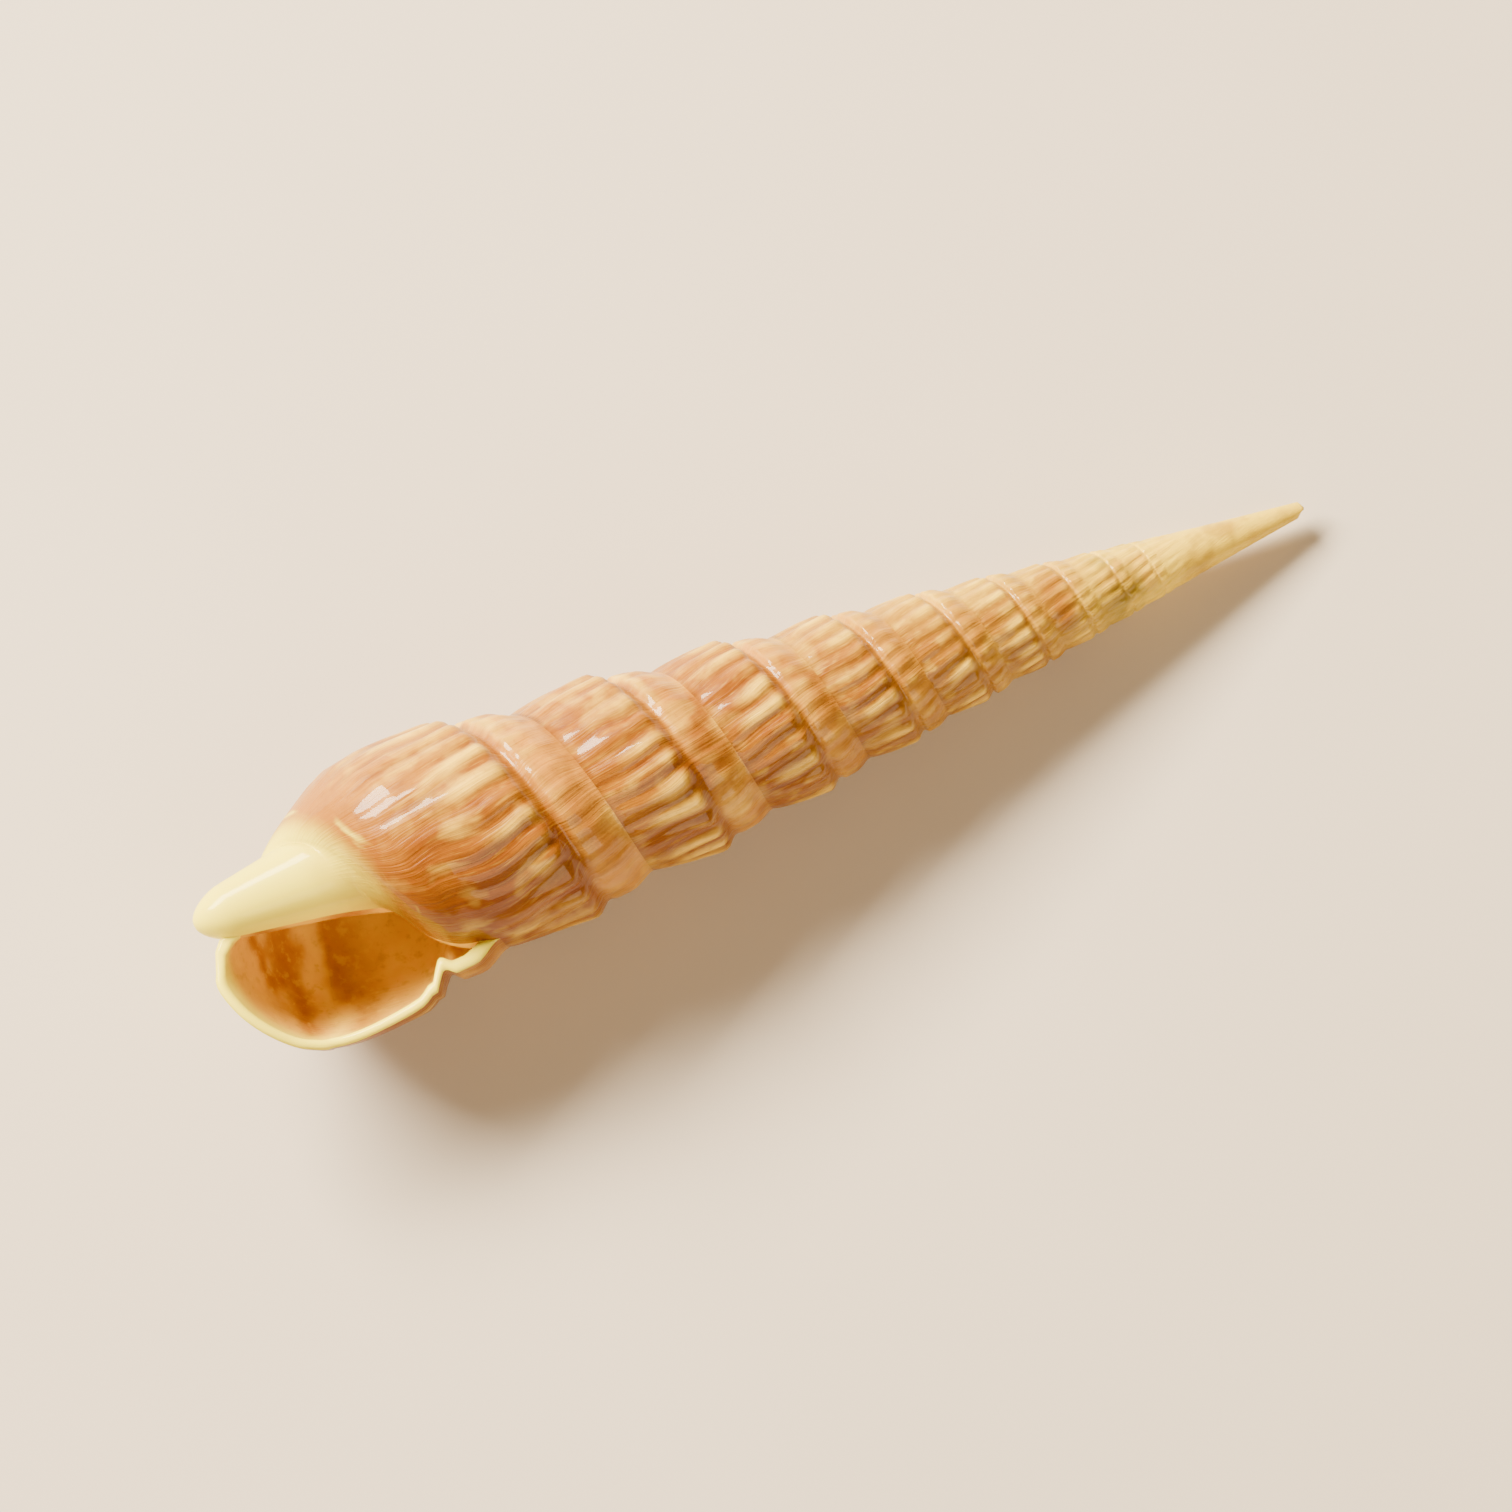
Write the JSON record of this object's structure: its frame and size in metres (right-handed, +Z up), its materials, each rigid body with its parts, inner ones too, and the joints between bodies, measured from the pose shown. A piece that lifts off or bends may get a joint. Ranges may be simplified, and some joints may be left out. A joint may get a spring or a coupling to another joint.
{
  "type": "auger sea shell",
  "caption": "Slender right-handed spiral sea shell with ribbed whorls, a smooth raised band under each seam, a flared wavy lip and a pale spout.",
  "frame": {"origin": "centre of the bounding box seen from above, on the floor plane that the small flat spots of the shell's back rest on", "axes": "+X along the shell towards the pointed tip, +Z up; the mouth opens upwards and towards -Y at the -X end"},
  "size_m": [0.05, 0.0116, 0.0103],
  "materials": {
    "shell": "glossy natural shell, tan with brown streaks and cream bands"
  },
  "bodies": {
    "root": {"shell": "shell"}
  },
  "joints": []
}
